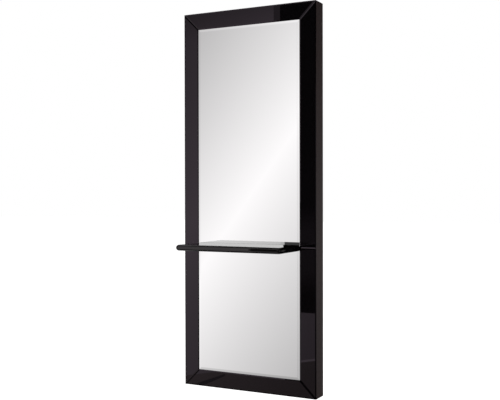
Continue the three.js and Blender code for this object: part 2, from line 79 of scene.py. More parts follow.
# boards and glue
BOARD_ARRIS = 0.0008
RAIL_ARRIS = 0.0012
BLOCK_ARRIS = 0.0015
BLOCK_BEAD = 0.0016
RAIL_BEAD = 0.0012
BEAD_MARGIN = 0.004  # a rail's bead ends this far before the end of the rail
BEAD_STEP = 0.006
BEAD_SIDES = 8

# cleats
HOOK_BEVEL = 0.018
WALL_HOLE = (0.003, 0.006, 0.004)  # hole radius, recess radius and recess depth
WALL_HOLE_RISE = 0.0495
WALL_HOLE_PITCH = 0.16
POCKET_DEPTH = 0.0027  # from the top of a sunk screw's head to the floor of its pocket

# screws
HEAD_HEIGHT = 0.0024
HEAD_RADIUS = 0.0044
SHANK_RADIUS = 0.0021
THREAD_PITCH = 0.0018
NECK = 0.0015  # plain, under the head
THREAD_START = 0.002
BARE_LENGTH = 0.006  # of the screw, without thread
TIP = 0.003
NEXT_TURN = 0.83
SCREW_STEPS = 72
HEAD_RINGS = 16
RECESS = {"arm": 0.0026, "half_width": 0.00045, "depth": 0.0013, "slope": 0.0002}
SOCKET_RADIUS = 0.0017
SOCKET_DEPTH = 0.0022
GRUB_PITCH = 0.001
GRUB_STEPS = 36

# brackets and shelf supports
BRACKET_STEEL = 0.0025
BRACKET_CORNER = 0.005
BRACKET_BEND = 0.0035
BRACKET_ARRIS = 0.0003
PLATE_STEEL = 0.005
PLATE_CORNER = 0.006
PLATE_ARRIS = 0.0004
ROD_CHAMFER = 0.001

# cuts
CLEARANCE = 0.0003
CUT_PAST = 0.002  # a cutter runs this far past the surface
ROUND_STEPS = 40


# ---------------- node helpers

def plug(tree, socket, value):
    """Links another node's output to a socket, or gives the socket a plain value."""
    if isinstance(value, bpy.types.NodeSocket):
        tree.links.new(value, socket)
    else:
        socket.default_value = value


def add_node(tree, kind, inputs=None, **settings):
    """A shader node with its settings made and its inputs plugged."""
    made = tree.nodes.new(f"ShaderNode{kind}")
    for name, value in settings.items():
        setattr(made, name, value)
    for key, value in (inputs or {}).items():
        plug(tree, made.inputs[key], value)
    return made


def math_node(tree, operation, first, second=0.0, third=0.0, clamp=False):
    values = {0: first, 1: second, 2: third}
    made = add_node(tree, "Math", values, operation=operation, use_clamp=clamp)
    return made.outputs[0]


def blend_colour(tree, factor, first, second):
    inputs = {0: factor, 6: first, 7: second}
    return add_node(tree, "Mix", inputs, data_type="RGBA").outputs[2]


def blend_value(tree, factor, first, second):
    return add_node(tree, "Mix", {0: factor, 2: first, 3: second}).outputs[0]


def map_range(tree, value, low, high, to_low=0.0, to_high=1.0):
    inputs = {"Value": value, "From Min": low, "From Max": high, "To Min": to_low, "To Max": to_high}
    return add_node(tree, "MapRange", inputs, clamp=True).outputs[0]


def axis_of(tree, vector, axis):
    return add_node(tree, "SeparateXYZ", {0: vector}).outputs[axis]


def object_place(tree):
    return add_node(tree, "TexCoord").outputs["Object"]


def texture_place(tree, stretch):
    """The place in the object, with each axis scaled where a stretch is given."""
    place = object_place(tree)
    if stretch is None:
        return place
    return add_node(tree, "Mapping", {"Vector": place, "Scale": stretch}).outputs[0]


def noise_texture(tree, scale, detail, distortion=0.0, stretch=None):
    place = texture_place(tree, stretch)
    inputs = {"Vector": place, "Scale": scale, "Detail": detail, "Distortion": distortion}
    return add_node(tree, "TexNoise", inputs).outputs[0]


def cell_texture(tree, scale, feature="F1", stretch=None):
    inputs = {"Vector": texture_place(tree, stretch), "Scale": scale}
    return add_node(tree, "TexVoronoi", inputs, feature=feature).outputs["Distance"]


def rgb(red, green, blue):
    return (red, green, blue, 1.0)


WHITE = rgb(1, 1, 1)


# ---------------- effects shared by the materials

def new_group(name, inputs, outputs):
    """A shader node group and what it is given, from {name: default} and the names of its outputs."""
    tree = bpy.data.node_groups.new(name, "ShaderNodeTree")
    for label, default in inputs.items():
        kind = "NodeSocketColor" if isinstance(default, tuple) else "NodeSocketFloat"
        socket = tree.interface.new_socket(label, in_out="INPUT", socket_type=kind)
        socket.default_value = default
    for label in outputs:
        kind = "NodeSocketColor" if label == "Color" else "NodeSocketFloat"
        tree.interface.new_socket(label, in_out="OUTPUT", socket_type=kind)
    return tree, tree.nodes.new("NodeGroupInput").outputs


def put_out(tree, **results):
    """Closes a group: what it puts out, by the names of its sockets."""
    end = tree.nodes.new("NodeGroupOutput")
    for label, value in results.items():
        tree.links.new(value, end.inputs[label.replace("_", " ")])
    return tree


def make_speckle():
    """Fine grains of one size, as a mask and a height."""
    inputs = {"Grain Size": 0.001, "Contrast": 1.0}
    tree, given = new_group("speckle", inputs, ("Mask", "Height"))
    scale = math_node(tree, "DIVIDE", 1.0, given["Grain Size"])
    grain = noise_texture(tree, scale, detail=3.0)
    centred = math_node(tree, "SUBTRACT", grain, 0.5)
    spread = math_node(tree, "MULTIPLY_ADD", centred, given["Contrast"], 0.5, clamp=True)
    return put_out(tree, Mask=spread, Height=grain)


def make_drift():
    """Slow variation of tone over a surface, between two colours."""
    inputs = {"First": rgb(0, 0, 0), "Second": WHITE, "Patch Size": 0.2}
    tree, given = new_group("drift", inputs, ("Color", "Mask"))
    scale = math_node(tree, "DIVIDE", 1.0, given["Patch Size"])
    patch = noise_texture(tree, scale, detail=5.0)
    mask = map_range(tree, patch, 0.3, 0.7)
    return put_out(tree, Color=blend_colour(tree, mask, given["First"], given["Second"]), Mask=mask)


def make_handling():
    """Wiped smears and dust specks on a polished surface, as a rise in roughness."""
    inputs = {"Polish": 0.03, "Smear": 0.05, "Dust": 0.1}
    tree, given = new_group("handling", inputs, ("Roughness", "Dust Mask"))
    wiped = noise_texture(tree, scale=1.6, detail=6.0, distortion=1.2, stretch=(3.0, 3.0, 9.0))
    smear = map_range(tree, wiped, 0.52, 0.8)
    specks = map_range(tree, cell_texture(tree, scale=260.0), 0.09, 0.04)
    smeared = math_node(tree, "MULTIPLY_ADD", smear, given["Smear"], given["Polish"])
    dusty = math_node(tree, "MULTIPLY_ADD", specks, given["Dust"], smeared)
    return put_out(tree, Roughness=dusty, Dust_Mask=specks)


def make_settled_dust():
    """Dust that lies on faces that look up, as a mask."""
    tree, given = new_group("settled_dust", {"Amount": 0.3}, ("Mask",))
    normal = add_node(tree, "NewGeometry").outputs["Normal"]
    upward = map_range(tree, axis_of(tree, normal, "Z"), 0.8, 0.98)
    fluff = noise_texture(tree, scale=90.0, detail=6.0)
    lying = math_node(tree, "MULTIPLY", upward, map_range(tree, fluff, 0.35, 0.75))
    return put_out(tree, Mask=math_node(tree, "MULTIPLY", lying, given["Amount"], clamp=True))


def make_plies():
    """Birch plywood, solid through the board: plies lie across Y, and the grain runs along X."""
    inputs = {"Ply": 0.0015, "Face": rgb(0.6, 0.45, 0.28), "Core": rgb(0.33, 0.22, 0.12)}
    tree, given = new_group("plies", inputs, ("Color", "Height"))
    depth = axis_of(tree, object_place(tree), "Y")
    layer = math_node(tree, "DIVIDE", depth, given["Ply"])
    dark_ply = map_range(tree, math_node(tree, "PINGPONG", layer, 1.0), 0.42, 0.58)
    grain = noise_texture(tree, scale=3.0, detail=8.0, distortion=0.6, stretch=(6.0, 60.0, 90.0))
    fleck = noise_texture(tree, scale=1.0, detail=2.0, stretch=(60.0, 700.0, 700.0))
    grained = map_range(tree, grain, 0.3, 0.75)
    face = blend_colour(tree, grained, given["Face"], rgb(0.42, 0.28, 0.15))
    flecked = map_range(tree, fleck, 0.6, 0.75, 0.0, 0.5)
    face = blend_colour(tree, flecked, face, rgb(0.3, 0.19, 0.1))
    normal = add_node(tree, "NewGeometry").outputs["Normal"]
    facing = math_node(tree, "ABSOLUTE", axis_of(tree, normal, "Y"))
    ply_mask = math_node(tree, "MULTIPLY", map_range(tree, facing, 0.9, 0.5), dark_ply)
    height = math_node(tree, "MULTIPLY_ADD", fleck, -0.5, grain)
    return put_out(tree, Color=blend_colour(tree, ply_mask, face, given["Core"]), Height=height)


def make_brushing():
    """Fine drawn lines along Z with a few deeper scratches, as a mask and a height."""
    tree, given = new_group("brushing", {"Line Width": 0.0003}, ("Mask", "Height"))
    scale = math_node(tree, "DIVIDE", 1.0, given["Line Width"])
    lines = noise_texture(tree, scale, detail=2.0, stretch=(1.0, 1.0, 0.02))
    cracks = cell_texture(tree, 1.0, "DISTANCE_TO_EDGE", stretch=(160.0, 160.0, 14.0))
    scratch = map_range(tree, cracks, 0.03, 0.0)
    mask = math_node(tree, "MAXIMUM", lines, scratch)
    return put_out(tree, Mask=mask, Height=math_node(tree, "SUBTRACT", lines, scratch))


EFFECTS = (make_speckle, make_drift, make_handling, make_settled_dust, make_plies, make_brushing)
GROUPS = {group.name: group for group in [make() for make in EFFECTS]}


# ---------------- materials

class Finish:
    """A material under construction: one Principled shader and the effects that feed it."""

    def __init__(self, name, tones=None, **constants):
        """Tones are two colours and the size of the patches in which they drift."""
        self.material = bpy.data.materials.new(name)
        self.material.use_nodes = True
        self.tree = self.material.node_tree
        self.shader = self.tree.nodes["Principled BSDF"]
        for label, value in constants.items():
            self.shader.inputs[label.replace("_", " ")].default_value = value
        if tones:
            first, second, patch = tones
            self.tone = self.effect("drift", First=first, Second=second, Patch_Size=patch)
            self.feed("Base Color", self.tone["Color"])

    def effect(self, group, **inputs):
        node = self.tree.nodes.new("ShaderNodeGroup")
        node.node_tree = GROUPS[group]
        for label, value in inputs.items():
            plug(self.tree, node.inputs[label.replace("_", " ")], value)
        return node.outputs

    def feed(self, label, socket):
        self.tree.links.new(socket, self.shader.inputs[label])

    def cover(self, mask, color):
        """Lays another colour over the tone where a mask says."""
        self.feed("Base Color", blend_colour(self.tree, mask, self.tone["Color"], color))

    def texture(self, grain, smooth, rough, strength, distance, low=0.0, high=1.0):
        """Roughness from an effect's mask, or its height if it has none, and relief from its height."""
        mask = grain["Mask" if "Mask" in grain else "Height"]
        self.feed("Roughness", map_range(self.tree, mask, low, high, smooth, rough))
        self.bump(grain["Height"], strength, distance)

    def bump(self, height, strength, distance):
        inputs = {"Height": height, "Strength": strength, "Distance": distance}
        self.feed("Normal", add_node(self.tree, "Bump", inputs).outputs[0])


def satin_lacquer():
    tones = (rgb(0.0098, 0.0038, 0.0036), rgb(0.012, 0.005, 0.0048), 0.25)
    made = Finish("satin_lacquer", tones, Specular_IOR_Level=0.3, Specular_Tint=rgb(1.0, 0.78, 0.78))
    made.cover(made.effect("settled_dust", Amount=0.25)["Mask"], rgb(0.22, 0.21, 0.2))
    peel = made.effect("speckle", Grain_Size=0.0018, Contrast=1.4)
    made.texture(peel, smooth=0.24, rough=0.34, strength=0.08, distance=0.0002)
    return made


def black_glass():
    tones = (rgb(0.0012, 0.001, 0.0012), rgb(0.0022, 0.0017, 0.0021), 0.4)
    made = Finish("black_glass", tones, IOR=1.52, Specular_Tint=rgb(1.0, 0.8, 0.965))
    marks = made.effect("handling", Polish=0.012, Smear=0.03, Dust=0.12)
    made.cover(marks["Dust Mask"], rgb(0.006, 0.006, 0.006))
    made.feed("Roughness", marks["Roughness"])
    made.bump(made.tone["Mask"], strength=0.02, distance=0.0002)
    return made


def silvered_glass():
    tones = (rgb(0.985, 0.985, 0.982), rgb(0.995, 0.995, 0.992), 0.5)
    made = Finish("silvered_glass", tones, Metallic=1.0)
    marks = made.effect("handling", Polish=0.004, Smear=0.006, Dust=0.01)
    made.feed("Roughness", marks["Roughness"])
    return made


def gloss_lacquer():
    tones = (rgb(0.0014, 0.0013, 0.0014), rgb(0.0024, 0.0022, 0.0023), 0.15)
    made = Finish("gloss_lacquer", tones, IOR=1.6, Specular_Tint=rgb(1.0, 0.93, 0.955))
    made.cover(made.effect("settled_dust", Amount=0.02)["Mask"], rgb(0.2, 0.2, 0.19))
    marks = made.effect("handling", Polish=0.02, Smear=0.035, Dust=0.1)
    made.feed("Roughness", marks["Roughness"])
    peel = made.effect("speckle", Grain_Size=0.006, Contrast=1.0)
    made.bump(peel["Height"], strength=0.015, distance=0.0003)
    return made


def bare_board():
    tones = (rgb(0.322, 0.219, 0.128), rgb(0.346, 0.239, 0.142), 0.3)
    made = Finish("bare_board", tones, Specular_IOR_Level=0.2)
    fibre = made.effect("speckle", Grain_Size=0.0012, Contrast=2.2)
    made.cover(map_range(made.tree, fibre["Mask"], 0.45, 0.95, 0.0, 0.45), rgb(0.16, 0.1, 0.055))
    made.texture(fibre, smooth=0.75, rough=0.92, strength=0.25, distance=0.0003)
    return made


def birch_plywood():
    made = Finish("birch_plywood", Specular_IOR_Level=0.25)
    wood = made.effect("plies", Ply=0.0015, Face=rgb(0.56, 0.4, 0.235), Core=rgb(0.27, 0.17, 0.09))
    made.feed("Base Color", wood["Color"])
    made.texture(wood, smooth=0.62, rough=0.85, strength=0.25, distance=0.0004)
    return made


def plain_steel():
    tones = (rgb(0.33, 0.33, 0.34), rgb(0.47, 0.47, 0.47), 0.02)
    made = Finish("plain_steel", tones, Metallic=1.0)
    lines = made.effect("brushing", Line_Width=0.0004)
    made.texture(lines, smooth=0.26, rough=0.5, strength=0.12, distance=0.0001, low=0.2, high=0.9)
    return made


def zinc_plate():
    tones = (rgb(0.62, 0.58, 0.46), rgb(0.6, 0.61, 0.6), 0.006)
    made = Finish("zinc_plate", tones, Metallic=1.0)
    spangle = made.effect("speckle", Grain_Size=0.0016, Contrast=2.5)
    made.texture(spangle, smooth=0.2, rough=0.4, strength=0.05, distance=0.0001)
    return made


def foam():
    tones = (rgb(0.62, 0.61, 0.58), rgb(0.7, 0.69, 0.66), 0.03)
    made = Finish("foam", tones, Specular_IOR_Level=0.1)
    cells = made.effect("speckle", Grain_Size=0.0006, Contrast=2.0)
    made.texture(cells, smooth=0.85, rough=0.98, strength=0.4, distance=0.0003)
    return made


def dried_glue():
    tones = (rgb(0.5, 0.4, 0.22), rgb(0.6, 0.52, 0.33), 0.01)
    made = Finish("dried_glue", tones, IOR=1.47)
    lumps = made.effect("speckle", Grain_Size=0.003, Contrast=1.5)
    made.texture(lumps, smooth=0.22, rough=0.4, strength=0.2, distance=0.0005)
    return made


FINISHES = {
    "lacquer": satin_lacquer,
    "black_glass": black_glass,
    "mirror": silvered_glass,
    "gloss_black": gloss_lacquer,
    "raw_board": bare_board,
    "plywood": birch_plywood,
    "steel": plain_steel,
    "zinc": zinc_plate,
    "foam_tape": foam,
    "glue": dried_glue,
}
MATERIALS = {slot: make().material for slot, make in FINISHES.items()}


# ---------------- mesh helpers

def new_thing(name, data):
    made = bpy.data.objects.new(name, data)
    bpy.context.scene.collection.objects.link(made)
    return made


def finish_piece(name, mesh, slot, nodes=(), body=UNIT, smooth=0):
    """A mesh as a piece that rides on a body and stands for some nodes of the frame."""
    if smooth:
        smooth_by_angle(mesh, smooth)
    piece = new_thing(name, mesh)
    mesh.materials.append(MATERIALS[slot])
    if nodes:
        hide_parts(*nodes)
    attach(piece, body)
    return piece


@contextmanager
def sculpt(name):
    """Gives a bmesh to work on and the mesh that it becomes when the work is done."""
    work = bmesh.new()
    mesh = bpy.data.meshes.new(name)
    yield work, mesh
    bmesh.ops.recalc_face_normals(work, faces=work.faces)
    work.to_mesh(mesh)
    work.free()


def smooth_by_angle(mesh, degrees):
    """Smooth faces, with a sharp edge wherever the surface turns more than that."""
    limit = math.radians(degrees)
    work = bmesh.new()
    work.from_mesh(mesh)
    for face in work.faces:
        face.smooth = True
    for edge in work.edges:
        turn = edge.calc_face_angle(math.pi) if len(edge.link_faces) == 2 else math.pi
        edge.smooth = turn < limit
    work.to_mesh(mesh)
    work.free()


def weigh_normals(piece):
    modifier = piece.modifiers.new("weigh", "WEIGHTED_NORMAL")
    modifier.keep_sharp = True
    modifier.weight = 100


def add_box(work, low, high):
    size = Vector(high) - Vector(low)
    middle = (Vector(high) + Vector(low)) / 2
    place = Matrix.Translation(middle) @ Matrix.Diagonal((*size, 1.0))
    return bmesh.ops.create_cube(work, size=1.0, matrix=place)["verts"]


def edges_of(verts):
    return list(dict.fromkeys(edge for vert in verts for edge in vert.link_edges))


def round_edges(work, edges, radius, steps=3):
    bmesh.ops.bevel(
        work, geom=edges, offset=radius, offset_type="OFFSET", segments=steps, profile=0.5,
        affect="EDGES", clamp_overlap=True,
    )


def circle(steps):
    """The angles of a full turn in equal steps."""
    return [2 * math.pi * step / steps for step in range(steps)]


def ring_at(work, radius, height, steps, place):
    spots = [Vector((radius * math.cos(a), radius * math.sin(a), height)) for a in circle(steps)]
    return [work.verts.new(place @ spot) for spot in spots]


def join_loops(work, lower, upper):
    """Faces between two closed loops, either of which may be a single vertex."""
    count = max(len(lower), len(upper))
    for index in range(count):
        after = (index + 1) % count
        if len(lower) == 1:
            work.faces.new((lower[0], upper[after], upper[index]))
        elif len(upper) == 1:
            work.faces.new((lower[index], lower[after], upper[0]))
        else:
            work.faces.new((lower[index], lower[after], upper[after], upper[index]))


def join_all(work, loops):
    for lower, upper in zip(loops, loops[1:]):
        join_loops(work, lower, upper)


def turned(work, rings, steps, place=Matrix.Identity(4)):
    """A closed turned body. Each ring is a radius and a height, and the first and last radius are 0."""
    loops = []
    for radius, height in rings:
        loops.append(ring_at(work, radius, height, steps if radius else 1, place))
    join_all(work, loops)


def ease_rims(work, radius):
    """Rounds every edge that turns more than 60 degrees."""
    rims = [edge for edge in work.edges if edge.calc_face_angle(0) > math.radians(60)]
    round_edges(work, rims, radius, 2)


def by_side(low, high, sign):
    """The inner and the outer one of two places, on the side that the sign says."""
    return (low, high) if sign > 0 else (high, low)


def bore(piece, cutters):
    """Cuts bars out of a piece for good. A bar is its start, end and radius."""
    with sculpt("cutters") as (work, mesh):
        for start, end, radius in cutters:
            along = Vector(end) - Vector(start)
            turn = along.to_track_quat("Z", "Y").to_matrix().to_4x4()
            rings = [(0, 0), (radius, 0), (radius, along.length), (0, along.length)]
            turned(work, rings, ROUND_STEPS, Matrix.Translation(start) @ turn)
    cutter = new_thing("cutter", mesh)
    modifier = piece.modifiers.new("bore", "BOOLEAN")
    modifier.operation = "DIFFERENCE"
    modifier.solver = "EXACT"
    modifier.object = cutter
    graph = bpy.context.evaluated_depsgraph_get()
    bored = bpy.data.meshes.new_from_object(piece.evaluated_get(graph))
    piece.modifiers.remove(modifier)
    piece.data = bored
    bpy.data.objects.remove(cutter)


# ---------------- boards

def eased_board(name, node, slot, radius=BOARD_ARRIS):
    low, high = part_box(node)
    with sculpt(name) as (work, mesh):
        verts = add_box(work, low, high)
        round_edges(work, edges_of(verts), radius)
    weigh_normals(finish_piece(name, mesh, slot, [node], smooth=40))


def build_boards():
    for node in ("side_panel_left", "side_panel_right", "top_panel", "bottom_panel"):
        eased_board(f"{node}_lacquered", node, "lacquer")
    for node in ("lower_rail", "shelf_rail", "hanging_rail"):
        eased_board(f"{node}_planed", node, "plywood", RAIL_ARRIS)
    for level, _ in ENDS:
        for word, _ in SIDES:
            node = f"glue_block_{level}_{word}"
            eased_board(f"{node}_sawn", node, "plywood", BLOCK_ARRIS)


def glue_bead(work, start, end, size, seed):
    """An uneven bead of squeezed-out glue along a joint."""
    start, end = Vector(start), Vector(end)
    along = end - start
    steps = max(6, int(along.length / BEAD_STEP))
    turn = along.to_track_quat("Z", "Y").to_matrix()
    rings = []
    for step in range(steps + 1):
        share = step / steps
        spot = start + along * share
        swell = 0.75 + 0.6 * noise.noise(Vector((seed * 3.7, share * along.length * 60, seed)))
        swell *= math.sin(math.pi * (0.06 + 0.88 * share)) ** 0.35
        ring = []
        for angle in circle(BEAD_SIDES):
            offset = turn @ Vector((math.cos(angle), math.sin(angle), 0))
            ring.append(work.verts.new(spot + offset * size * swell))
        rings.append(ring)
    join_all(work, rings)
    work.faces.new(rings[0][::-1])
    work.faces.new(rings[-1])


def block_joints(node, side, up):
    """The four joints that show around a glue block, each as a start and an end."""
    low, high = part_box(node)
    inner_x, outer_x = by_side(low.x, high.x, side)
    inner_z, outer_z = by_side(low.z, high.z, up)
    return (
        ((inner_x, low.y, inner_z), (inner_x, low.y, outer_z)),
        ((inner_x, low.y, inner_z), (outer_x, low.y, inner_z)),
        ((outer_x, low.y, inner_z), (outer_x, high.y, inner_z)),
        ((inner_x, low.y, outer_z), (inner_x, high.y, outer_z)),
    )


def build_glue_beads():
    """Glue squeezed out around the blocks and along the rails, behind the front board."""
    beads = []
    for level, up in ENDS:
        for word, side in SIDES:
            joints = block_joints(f"glue_block_{level}_{word}", side, up)
            beads += [(start, end, BLOCK_BEAD) for start, end in joints]
    for node in ("lower_rail", "shelf_rail"):
        low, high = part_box(node)
        for z in (low.z, high.z):
            beads.append(((low.x + BEAD_MARGIN, low.y, z), (high.x - BEAD_MARGIN, low.y, z), RAIL_BEAD))
    with sculpt("glue_beads") as (work, mesh):
        for seed, (start, end, size) in enumerate(beads, 1):
            glue_bead(work, start, end, size, seed)
    finish_piece("glue_beads", mesh, "glue", smooth=80)


# ---------------- cleats

def hooked_board(name, node, outline, body):
    """A cleat: an outline in Y and Z drawn along X between the node's ends, with eased edges."""
    low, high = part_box(node)
    with sculpt(name) as (work, mesh):
        ends = [[work.verts.new((x, y, z)) for y, z in outline] for x in (low.x, high.x)]
        work.faces.new(ends[0])
        work.faces.new(ends[1][::-1])
        join_loops(work, *ends)
        round_edges(work, list(work.edges), BOARD_ARRIS)
    return finish_piece(name, mesh, "plywood", [node], body, smooth=40)


def build_frame_cleat():
    low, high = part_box("frame_cleat")
    outline = ((high.y, low.z), (high.y, high.z), (low.y, high.z), (low.y, low.z + HOOK_BEVEL))
    cleat = hooked_board("frame_cleat_bevelled", "frame_cleat", outline, UNIT)
    pockets = []
    for number in range(1, 5):
        screw_low, screw_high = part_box(f"frame_cleat_screw_{number}")
        x, _, z = (screw_low + screw_high) / 2
        radius = (screw_high.x - screw_low.x) / 2 + CLEARANCE
        pockets.append(((x, screw_high.y - POCKET_DEPTH, z), (x, high.y + CUT_PAST, z), radius))
    bore(cleat, pockets)


def build_wall_cleat():
    low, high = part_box("wall_cleat")
    shoulder = high.z - (high.y - low.y)
    outline = ((high.y, low.z), (high.y, shoulder), (low.y, high.z), (low.y, low.z))
    cleat = hooked_board("wall_cleat_bevelled", "wall_cleat", outline, WALL_SIDE)
    radius, recess, depth = WALL_HOLE
    z = low.z + WALL_HOLE_RISE
    holes = []
    for step in (-1.5, -0.5, 0.5, 1.5):
        x = step * WALL_HOLE_PITCH
        start = (x, low.y - CUT_PAST, z)
        holes.append((start, (x, high.y + CUT_PAST, z), radius))
        holes.append((start, (x, low.y + depth, z), recess))
    bore(cleat, holes)


# ---------------- screws

def cross_depth(x, y):
    """How deep the cross recess is at a point of the head: full in its arms, nothing outside them."""
    across = min(
        max(abs(x) - RECESS["half_width"], abs(y) - RECESS["arm"]),
        max(abs(y) - RECESS["half_width"], abs(x) - RECESS["arm"]),
    )
    return RECESS["depth"] * min(1.0, max(0.0, -across / RECESS["slope"] + 0.5))


def head_rings(work, place):
    """The rings of a pan head's top, with the recess pressed into them."""
    loops = []
    for ring in range(1, HEAD_RINGS + 1):
        radius = HEAD_RADIUS * 0.92 * ring / HEAD_RINGS
        rise = HEAD_HEIGHT * (1 - 0.3 * (ring / HEAD_RINGS) ** 4)
        loop = []
        for angle in circle(SCREW_STEPS):
            x, y = radius * math.cos(angle), radius * math.sin(angle)
            loop.append(work.verts.new(place @ Vector((x, y, rise - cross_depth(x, y)))))
        loops.append(loop)
    return loops


def shank_profile(length):
    """Radius and height from the rim of the head, down the thread, to the tip."""
    profile = [
        (HEAD_RADIUS, HEAD_HEIGHT * 0.5), (HEAD_RADIUS, HEAD_HEIGHT * 0.12),
        (HEAD_RADIUS * 0.97, 0.0), (SHANK_RADIUS * 0.8, 0.0), (SHANK_RADIUS * 0.8, -NECK),
    ]
    for turn in range(int((length - BARE_LENGTH) / THREAD_PITCH)):
        top = -THREAD_START - turn * THREAD_PITCH
        profile += [(SHANK_RADIUS * 0.7, top), (SHANK_RADIUS, top - THREAD_PITCH * 0.5)]
    return profile + [(SHANK_RADIUS * 0.6, -length + TIP), (SHANK_RADIUS * 0.08, -length)]


def screw_mesh(name, length, place):
    """A pan-head wood screw with a cross recess and a thread. Its head is at +Z and starts at z = 0."""
    with sculpt(name) as (work, mesh):
        centre = work.verts.new(place @ Vector((0, 0, HEAD_HEIGHT - RECESS["depth"])))
        loops = head_rings(work, place)
        for radius, height in shank_profile(length):
            loops.append(ring_at(work, radius, height, SCREW_STEPS, place))
        join_all(work, loops)
        join_loops(work, [centre], loops[0])
        work.faces.new(loops[-1])
    smooth_by_angle(mesh, 35)
    return mesh


def place_screw(node, direction, turn):
    """A screw in a node's place, with its head towards direction and its recess turned."""
    low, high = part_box(node)
    middle = (low + high) / 2
    direction = Vector(direction)
    length = abs((high - low).dot(direction))
    seat = middle + direction * (length / 2 - HEAD_HEIGHT)
    aim = direction.to_track_quat("Z", "Y").to_matrix().to_4x4()
    place = Matrix.Translation(seat) @ aim @ Matrix.Rotation(turn, 4, "Z")
    mesh = screw_mesh(node, length - HEAD_HEIGHT, place)
    finish_piece(f"{node}_driven", mesh, "zinc", [node])


def build_screws():
    """Each screw stops with its recess at another turn, in radians."""
    turn = 0.3
    for number in range(1, 5):
        place_screw(f"frame_cleat_screw_{number}", (0, 1, 0), turn)
        turn += NEXT_TURN
    for word, side in SIDES:
        for number in (1, 2):
            place_screw(f"angle_rail_screw_{word}_{number}", (0, -1, 0), turn)
            place_screw(f"angle_side_screw_{word}_{number}", (-side, 0, 0), turn + 0.5)
            place_screw(f"shelf_support_screw_{word}_{number}", (0, 1, 0), turn + 1.1)
            turn += NEXT_TURN


def grub_ring(work, middle, z, distance, hexagon):
    """A ring round the axis of a lock screw. In its socket the ring is a hexagon."""
    loop = []
    for angle in circle(GRUB_STEPS):
        reach = distance
        if hexagon:
            wedge = (angle % (math.pi / 3)) - math.pi / 6
            reach = distance * math.cos(math.pi / 6) / math.cos(wedge)
        spot = (middle.x + reach * math.cos(angle), middle.y + reach * math.sin(angle), z)
        loop.append(work.verts.new(spot))
    return loop


def grub_rings(bottom, top, radius):
    """Height, radius and shape of each ring, from the floor of the socket round to the far end."""
    rings = [
        (bottom + SOCKET_DEPTH, SOCKET_RADIUS, True),
        (bottom + 0.0001, SOCKET_RADIUS, True),
        (bottom, SOCKET_RADIUS * 1.12, True),
        (bottom, radius * 0.82, False),
        (bottom + 0.0006, radius, False),
    ]
    height = bottom + GRUB_PITCH
    while height < top - GRUB_PITCH:
        rings.append((height, radius * 0.87, False))
        rings.append((height + GRUB_PITCH / 2, radius, False))
        height += GRUB_PITCH
    rings.append((top, radius * 0.6, False))
    return rings


def build_lock_screws():
    """Grub screws with a hexagon socket, set into the underside of the shelf."""
    for word, _ in SIDES:
        node = f"shelf_lock_screw_{word}"
        low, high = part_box(node)
        middle = (low + high) / 2
        rings = grub_rings(low.z, high.z, (high.x - low.x) / 2)
        with sculpt(node) as (work, mesh):
            loops = [grub_ring(work, middle, *ring) for ring in rings]
            join_all(work, loops)
            work.faces.new(loops[0])
            work.faces.new(loops[-1])
        finish_piece(f"{node}_threaded", mesh, "steel", [node], smooth=35)


# ---------------- brackets and shelf supports

def bracket_outline(low, high, side):
    """An L in X and Y, with one leg on the rail and the other on the side panel."""
    inner_x, outer_x = by_side(low.x, high.x, side)
    leg_x = outer_x - side * BRACKET_STEEL
    plate_y = high.y - BRACKET_STEEL
    return (
        (outer_x, high.y), (inner_x, high.y), (inner_x, plate_y),
        (leg_x, plate_y), (leg_x, low.y), (outer_x, low.y),
    )


def build_angle_brackets():
    for word, side in SIDES:
        node = f"angle_bracket_{word}"
        low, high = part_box(node)
        outline = bracket_outline(low, high, side)
        with sculpt(node) as (work, mesh):
            ends = [[work.verts.new((x, y, z)) for x, y in outline] for z in (low.z, high.z)]
            work.faces.new(ends[0])
            work.faces.new(ends[1])
            join_loops(work, *ends)
            tips = [work.edges.get((end[tip], end[tip + 1])) for end in ends for tip in (1, 4)]
            fold = work.edges.get((ends[0][0], ends[1][0]))
            round_edges(work, tips, BRACKET_CORNER, 6)
            round_edges(work, [fold], BRACKET_BEND, 6)
            bmesh.ops.recalc_face_normals(work, faces=work.faces)
            ease_rims(work, BRACKET_ARRIS)
        weigh_normals(finish_piece(f"{node}_folded", mesh, "steel", [node], smooth=40))


def build_shelf_supports():
    """A plate screwed to the shelf rail, with a rod that the shelf slides onto."""
    for word, _ in SIDES:
        node = f"shelf_support_{word}"
        low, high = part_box(node)
        root_y = high.y - PLATE_STEEL / 2
        reach = root_y - low.y
        to_back = Matrix.Translation(((low.x + high.x) / 2, root_y, SHELF_AXIS_Z))
        to_back @= Matrix.Rotation(math.radians(90), 4, "X")
        rod = [
            (0, 0), (ROD_RADIUS, 0), (ROD_RADIUS, reach - ROD_CHAMFER),
            (ROD_RADIUS - ROD_CHAMFER, reach), (0, reach),
        ]
        with sculpt(node) as (work, mesh):
            verts = add_box(work, (low.x, high.y - PLATE_STEEL, low.z), high)
            corners = [
                edge for edge in edges_of(verts)
                if abs((edge.verts[0].co - edge.verts[1].co).y) > PLATE_STEEL / 2
            ]
            round_edges(work, corners, PLATE_CORNER, 6)
            ease_rims(work, PLATE_ARRIS)
            turned(work, rod, ROUND_STEPS, to_back)
        finish_piece(f"{node}_welded", mesh, "steel", [node], smooth=35)


# ---------------- glass

